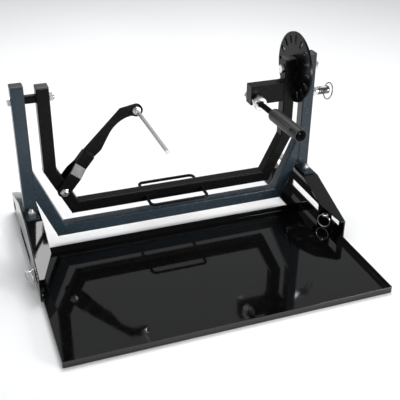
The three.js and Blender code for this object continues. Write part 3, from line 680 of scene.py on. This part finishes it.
bolt("left_pivot_bolt", X, 19, 7.5, 6, 1.75, 86, 0.2)
bolt("right_pivot_bolt", X, 19, 7.5, 6, 1.75, 86, 0.5)
bolt("arm_pivot_bolt", -Y, 18, 7.5, 6, 1.75, 42, 0.3)
for side, end, turn in (("left", "front", 0.1), ("left", "rear", 0.6),
                        ("right", "front", 0.4), ("right", "rear", 0.9)):
    bolt(f"{side}_{end}_foot_bolt", Z, 16, 6.4, 5, 1.5, 12, turn)


def sleeve(node, axis, outer, inner, ease=0.5):
    start, length = seat(node, axis)
    profile = annular(outer * MM, inner * MM, 0, length, ease * MM)
    return stands_for(lathe(node + "_sleeve", profile, axis, start), node)


sleeve("left_pivot_spacer", X, 10.5, 6.2)
sleeve("right_pivot_spacer", X, 10.5, 6.2)
sleeve("rod_front_washer", -Y, 10, 5.3, 0.3)
sleeve("stud_washer", STUD_AXIS, 17, 7.3, 1.2)


# ---------------------------------------------------------------- index disc
def slotted_disc(node):
    """The index disc: slots all round, every edge eased."""
    low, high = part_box(node)
    middle = centre(node)
    radius = (high.z - low.z) / 2
    thick = high.x - low.x
    ease = 0.5 * MM
    slot_count = 16
    slot_in, slot_out, slot_half = 60 * MM, 84 * MM, 4.4 * MM
    outline = bpy.data.curves.new(node, "CURVE")
    outline.dimensions = "2D"
    outline.fill_mode = "BOTH"
    outline.extrude = thick / 2 - ease
    outline.bevel_depth = ease
    outline.bevel_resolution = 2
    outline.offset = -ease

    def loop(points):
        spline = outline.splines.new("POLY")
        spline.points.add(len(points) - 1)
        for point, (a, b) in zip(spline.points, points):
            point.co = (a, b, 0, 1)
        spline.use_cyclic_u = True

    def arc(a, b, r, start, end, steps):
        return [(a + r * math.cos(start + (end - start) * i / steps),
                 b + r * math.sin(start + (end - start) * i / steps)) for i in range(steps + 1)]

    loop(arc(0, 0, radius, 0, 2 * math.pi, 160)[:-1])
    loop(arc(0, 0, 6.2 * MM, 0, 2 * math.pi, 40)[:-1])
    for k in range(slot_count):
        angle = 2 * math.pi * k / slot_count
        far, near = slot_out - slot_half, slot_in + slot_half
        loop(arc(far * math.cos(angle), far * math.sin(angle), slot_half,
                 angle - math.pi / 2, angle + math.pi / 2, 12)
             + arc(near * math.cos(angle), near * math.sin(angle), slot_half,
                   angle + math.pi / 2, angle + 1.5 * math.pi, 12))
    drawn = bpy.data.objects.new(node + "_outline", outline)
    bpy.context.scene.collection.objects.link(drawn)
    bpy.context.view_layer.update()
    bm = bmesh.new()
    bm.from_mesh(drawn.to_mesh())
    drawn.to_mesh_clear()
    bpy.data.objects.remove(drawn)
    bmesh.ops.remove_doubles(bm, verts=bm.verts, dist=1e-6)
    turn = Matrix(((0, 0, 1, 0), (1, 0, 0, 0), (0, 1, 0, 0), (0, 0, 0, 1)))
    bm.transform(Matrix.Translation(middle) @ turn)
    return stands_for(finished(node + "_plate", bm), node)


slotted_disc("index_disc")


# ---------------------------------------------------------------- rods, rings and handles
def ring_of(node, wire):
    """A wire ring in its CAD node's plane."""
    cloud = points_of(node)
    middle = cloud.mean(0)
    normal = Vector(np.linalg.svd(cloud - middle, full_matrices=False)[2][2])
    radius = float(np.linalg.norm(cloud - middle, axis=1).max()) - wire
    around, across = 96, 16
    bm = bmesh.new()
    rings = []
    for i in range(around):
        turn = 2 * math.pi * i / around
        out = Vector((math.cos(turn), math.sin(turn), 0))
        rings.append([
            bm.verts.new(out * (radius + wire * math.cos(t)) + Z * (wire * math.sin(t)))
            for t in (2 * math.pi * k / across for k in range(across))
        ])
    for i in range(around):
        bridge(bm, rings[i], rings[(i + 1) % around])
    bm.transform(frame_along(normal, Vector(middle)))
    return stands_for(finished(node + "_ring", bm, 60), node)


for ring in ("left_lock_ring", "right_lock_ring", "pull_ring"):
    ring_of(ring, 1.6 * MM)


def handle(node, side):
    """A lift handle: round bar with rolled bends, welded to the crossbar at both ends."""
    low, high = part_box(node)
    rod = (high.z - low.z) / 2
    bend = 12 * MM
    near, far = (high.y, low.y + rod) if side < 0 else (low.y, high.y - rod)
    left, right = low.x + rod, high.x - rod
    height = centre(node).z
    path = [Vector((left, near, height))]
    for x, start in ((left + bend, math.pi), (right - bend, math.pi / 2)):
        for i in range(13):
            turn = start - math.pi / 2 * i / 12
            y = far - side * bend * (1 - math.sin(turn))
            path.append(Vector((x + bend * math.cos(turn), y, height)))
    path.append(Vector((right, near, height)))
    bm = bmesh.new()
    rings = []
    around = 24
    for i, here in enumerate(path):
        before = path[max(i - 1, 0)]
        after = path[min(i + 1, len(path) - 1)]
        ahead = (after - before).normalized()
        across = ahead.cross(Z)
        rings.append([
            bm.verts.new(here + rod * (math.cos(t) * across + math.sin(t) * Z))
            for t in (2 * math.pi * k / around for k in range(around))
        ])
    for first, second in zip(rings, rings[1:]):
        bridge(bm, first, second)
    bm.faces.new(rings[0])
    bm.faces.new(rings[-1])
    piece = stands_for(finished(node + "_bar", bm, 60), node)
    for end, x in (("left", left), ("right", right)):
        foot = [Vector((x + (rod + 0.6 * MM) * math.cos(t), near, height + (rod + 0.6 * MM) * math.sin(t)))
                for t in (2 * math.pi * k / 32 for k in range(32))]
        weld_bead(f"{node}_{end}_weld", foot, 1.5 * MM, node)
    return piece


handle("front_handle", -1)
handle("rear_handle", 1)


def clamp_rod(node):
    """The long rod: plain bright bar, threaded where its nuts grip it."""
    start, length = seat(node, -Y)
    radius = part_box(node)[1].x - centre(node).x
    threaded = 46 * MM
    grip = thread(node + "_thread", radius - 0.05 * MM, 1.5 * MM, 0, threaded, -Y, start)
    profile = chamfered(radius, threaded - 0.3 * MM, length, 0.6 * MM)
    plain = lathe(node + "_plain", profile, -Y, start, 48)
    return stands_for(merged(node + "_bar", [grip, plain]), node)


clamp_rod("clamp_rod")

stud_start, stud_length = seat("socket_stud", STUD_AXIS)
stands_for(thread("socket_stud_thread", 7 * MM, 2 * MM, 0, stud_length, STUD_AXIS, stud_start, 32),
           "socket_stud")


def cut_with(piece, tool):
    """Cuts a tool's shape out of a piece for good, and removes the tool."""
    cutter = piece.modifiers.new("cut", "BOOLEAN")
    cutter.operation = "DIFFERENCE"
    cutter.solver = "EXACT"
    cutter.object = tool
    piece.modifiers.move(len(piece.modifiers) - 1, 0)
    bpy.context.view_layer.update()
    shaped = piece.evaluated_get(bpy.context.evaluated_depsgraph_get())
    piece.modifiers.remove(piece.modifiers[0])
    mesh = bpy.data.meshes.new_from_object(shaped)
    old = piece.data
    piece.modifiers.clear()
    piece.data = mesh
    bpy.data.meshes.remove(old)
    bpy.data.objects.remove(tool)
    mesh.polygons.foreach_set("use_smooth", [True] * len(mesh.polygons))
    mesh.set_sharp_from_angle(angle=math.radians(32))
    return piece


def socket(node):
    """The adjustable socket: round shoulder at the stud, deep bore, one cross hole."""
    start, length = seat(node, STUD_AXIS)
    outer, bore, shoulder = 16.3 * MM, 13 * MM, 9 * MM
    depth = 62 * MM
    profile = [(7.2 * MM, 0)]
    for i in range(9):
        turn = (i / 8) * math.pi / 2
        profile.append((outer - shoulder + shoulder * math.sin(turn), shoulder * (1 - math.cos(turn))))
    profile += [(outer, length - 0.8 * MM), (outer - 0.8 * MM, length), (bore + 0.8 * MM, length),
                (bore, length - 0.8 * MM), (bore, length - depth), (bore - 2 * MM, length - depth - 1 * MM),
                (0, length - depth - 6 * MM), (0, 19 * MM), (7.2 * MM, 19 * MM), (7.2 * MM, 0)]
    piece = lathe(node + "_turned", profile, STUD_AXIS, start, 96)
    tilt = math.radians(-61.5)
    across = Vector((math.sin(tilt), 0, math.cos(tilt)))
    hole_at = start + STUD_AXIS * (length - 26 * MM)
    tool = lathe("cross_hole", chamfered(4 * MM, -25 * MM, 25 * MM, 0.1 * MM), across, hole_at, 40)
    return stands_for(cut_with(piece, tool), node)


socket("socket_tube")


# ---------------------------------------------------------------- index plunger and lock pins
def plunger():
    housing_low, housing_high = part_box("plunger_housing")
    axis_at = Vector((0, centre("index_pin").y, centre("index_pin").z))
    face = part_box("right_outer_upright")[1].x + 0.3 * MM
    hexed = hexagon("housing_hex", 22 * MM, face, face + 9 * MM, 0, X, axis_at, 0.25, 0.2 * MM)
    neck = lathe("housing_neck", annular(9 * MM, 4.3 * MM, face + 8.5 * MM, housing_high.x, 0.5 * MM),
                 X, axis_at)
    barrel = lathe("housing_barrel", annular(8 * MM, 6.9 * MM, housing_low.x, face + 0.5 * MM, 0.4 * MM),
                   X, axis_at)
    stands_for(merged("plunger_housing_turned", [hexed, neck, barrel]), "plunger_housing")

    pin_low, pin_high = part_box("index_pin")
    pin = lathe("index_pin_turned",
                [(0, pin_low.x), (2.8 * MM, pin_low.x), (4 * MM, pin_low.x + 1.6 * MM),
                 (4 * MM, pin_low.x + 28 * MM), (6.6 * MM, pin_low.x + 28.5 * MM),
                 (6.6 * MM, pin_low.x + 31.5 * MM), (4 * MM, pin_low.x + 32 * MM),
                 (4 * MM, pin_high.x), (0, pin_high.x)], X, axis_at, 48)
    stands_for(pin, "index_pin")

    knob_low, knob_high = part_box("pull_knob")
    radius = (knob_high.z - knob_low.z) / 2
    start, end = knob_low.x, knob_high.x
    profile = [(9.3 * MM, start), (radius - 0.6 * MM, start), (radius, start + 0.8 * MM),
               (radius, start + 4 * MM)]
    for groove in range(3):
        at = start + (5 + 2.2 * groove) * MM
        profile += [(radius, at), (radius - 0.5 * MM, at + 0.4 * MM), (radius - 0.5 * MM, at + 0.8 * MM),
                    (radius, at + 1.2 * MM)]
    profile += [(radius, end - 3 * MM), (radius - 0.5 * MM, end - 1.6 * MM), (radius - 2.4 * MM, end),
                (0, end), (0, start + 8.5 * MM), (9.3 * MM, start + 8.5 * MM), (9.3 * MM, start)]
    knob = lathe("pull_knob_turned", profile, X, axis_at, 96)
    ring = points_of("pull_ring")
    middle = Vector(ring.mean(0))
    normal = Vector(np.linalg.svd(ring - ring.mean(0), full_matrices=False)[2][2])
    eye_at = axis_at + X * (knob_high.x - 13.5 * MM)
    along = normal.cross((middle - eye_at).normalized()).normalized()
    tool = lathe("ring_eye", chamfered(3.4 * MM, -25 * MM, 25 * MM, 0.1 * MM), along, eye_at, 32)
    stands_for(cut_with(knob, tool), "pull_knob")


plunger()


def lock_pin(node):
    """A lock pin: ball head, a neck, a plain shank and a bullet nose."""
    low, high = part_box(node)
    head = (high.z - low.z) / 2
    start, length = seat(node, X)
    shank = 4 * MM
    profile = [(0, 0)]
    join = math.asin(shank / head)
    for i in range(1, 15):
        turn = (math.pi - join) * i / 14
        profile.append((head * math.sin(turn), head - head * math.cos(turn)))
    collar = 2 * head + 0.2 * MM
    profile += [(shank + 0.9 * MM, collar), (shank + 0.9 * MM, collar + 1.2 * MM),
                (shank, collar + 1.5 * MM), (shank, length - 5 * MM), (shank - 0.6 * MM, length - 4.6 * MM),
                (shank - 0.6 * MM, length - 3.6 * MM), (shank, length - 3.2 * MM),
                (shank - 0.7 * MM, length - 0.8 * MM), (shank - 2 * MM, length), (0, length)]
    return stands_for(lathe(node + "_turned", profile, X, start, 48), node)


lock_pin("left_lock_pin")
lock_pin("right_lock_pin")


# ---------------------------------------------------------------- more welds
def foot_weld(side):
    low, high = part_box(f"{side}_outer_upright")
    spot = centre(f"{side}_outer_upright")
    foot = [Vector((spot.x + a, spot.y + b, low.z + 0.4 * MM))
            for a, b in rounded_rectangle(15.6 * MM, 15.6 * MM, 3.4 * MM)]
    weld_bead(f"{side}_foot_weld", foot, 2.2 * MM, f"{side}_outer_upright")


foot_weld("left")
foot_weld("right")

beam_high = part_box("socket_beam")[1]
beam_end = [Vector((beam_high.x, centre("socket_beam").y + a, centre("socket_beam").z + b))
            for a, b in rounded_rectangle(14.4 * MM, 24.6 * MM, 2 * MM)]
weld_bead("socket_beam_weld", beam_end, 2.0 * MM, "socket_beam")

disc_low, disc_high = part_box("index_disc")
for name, y_side in (("front", -1), ("rear", 1)):
    edge_y = centre("right_inner_upright").y + y_side * 14.6 * MM
    for part, (z0, z1) in enumerate(((0.10, 0.24), (0.32, 0.46), (0.54, 0.64))):
        seam = [Vector((disc_low.x - 0.4 * MM, edge_y, disc_low.z + (disc_high.z - disc_low.z) * z))
                for z in np.linspace(z0, z1, 8)]
        weld_bead(f"disc_{name}_weld_{part}", seam, 2.0 * MM, "index_disc", closed=False)

ARM_LEAN = math.radians(39.7)  # from upright, towards +X
LEAF_LENGTH = 110.2 * MM  # from the arm's pivot to the weld at the fork's end
arm_axis = Vector((math.sin(ARM_LEAN), 0, math.cos(ARM_LEAN)))
arm_across = arm_axis.cross(Y)
arm_pivot = Vector((centre("arm_pivot_bolt").x, centre("arm_blade").y, centre("arm_pivot_bolt").z))
for name, y_side in (("front", -1), ("rear", 1)):
    face = arm_pivot + Y * (y_side * 6.0 * MM) + arm_axis * LEAF_LENGTH
    seam = [face + arm_across * (t * MM) for t in np.linspace(-14.5, 14.5, 10)]
    weld_bead(f"arm_{name}_weld", seam, 2.6 * MM, "arm_blade", closed=False)


# ---------------------------------------------------------------- floor and light
def floor():
    """A pale sweep, big enough to fill the view from every side."""
    bm = bmesh.new()
    rings = []
    for radius in np.geomspace(0.2, 14, 10):
        rings.append([bm.verts.new((radius * math.cos(t), radius * math.sin(t), -0.3 * MM))
                      for t in (2 * math.pi * k / 48 for k in range(48))])
    for first, second in zip(rings, rings[1:]):
        bridge(bm, first, second)
    bm.faces.new(rings[0])
    mesh = bpy.data.meshes.new("floor")
    bm.to_mesh(mesh)
    bm.free()
    sweep = bpy.data.objects.new("floor", mesh)
    bpy.context.scene.collection.objects.link(sweep)
    s = Shader("floor")
    s.colour(s.tint(s.spread(s.noise(1.5, 2), 0, 1), (0.90, 0.90, 0.90), (0.93, 0.93, 0.93)))
    s.set(Roughness=0.7, Specular_IOR_Level=0.1)
    mesh.materials.append(s.material)


floor()


def softbox(name, place, target, width, height, radiance, spread=180):
    """A rectangular light of a given brightness, facing a point; its spread is in degrees."""
    light = bpy.data.lights.new(name, "AREA")
    light.shape = "RECTANGLE"
    light.size = width
    light.size_y = height
    light.energy = radiance * math.pi * width * height
    light.spread = math.radians(spread)
    lamp = bpy.data.objects.new(name, light)
    lamp.location = place
    lamp.rotation_euler = (Vector(target) - Vector(place)).to_track_quat("-Z", "Y").to_euler()
    bpy.context.scene.collection.objects.link(lamp)


softbox("overhead", (0.3, 1.1, 2.5), (0, 0, 0.2), 1.8, 1.6, 7.0)
softbox("left_front", (-2.6, -1.6, 1.5), (0, 0, 0.2), 1.4, 1.6, 1.8)
softbox("right", (2.8, -0.6, 1.4), (0, 0, 0.2), 1.2, 1.6, 1.6)
softbox("low_right_front", (1.10, -1.60, 0.43), (-0.27, 0.11, 0.21), 0.6, 0.4, 5.0, spread=50)

world = bpy.data.worlds.new("studio")
world.use_nodes = True
world.node_tree.nodes["Background"].inputs["Color"].default_value = (0.95, 0.97, 1.0, 1)
world.node_tree.nodes["Background"].inputs["Strength"].default_value = 0.37
bpy.context.scene.world = world
bpy.context.scene.view_settings.view_transform = "Standard"
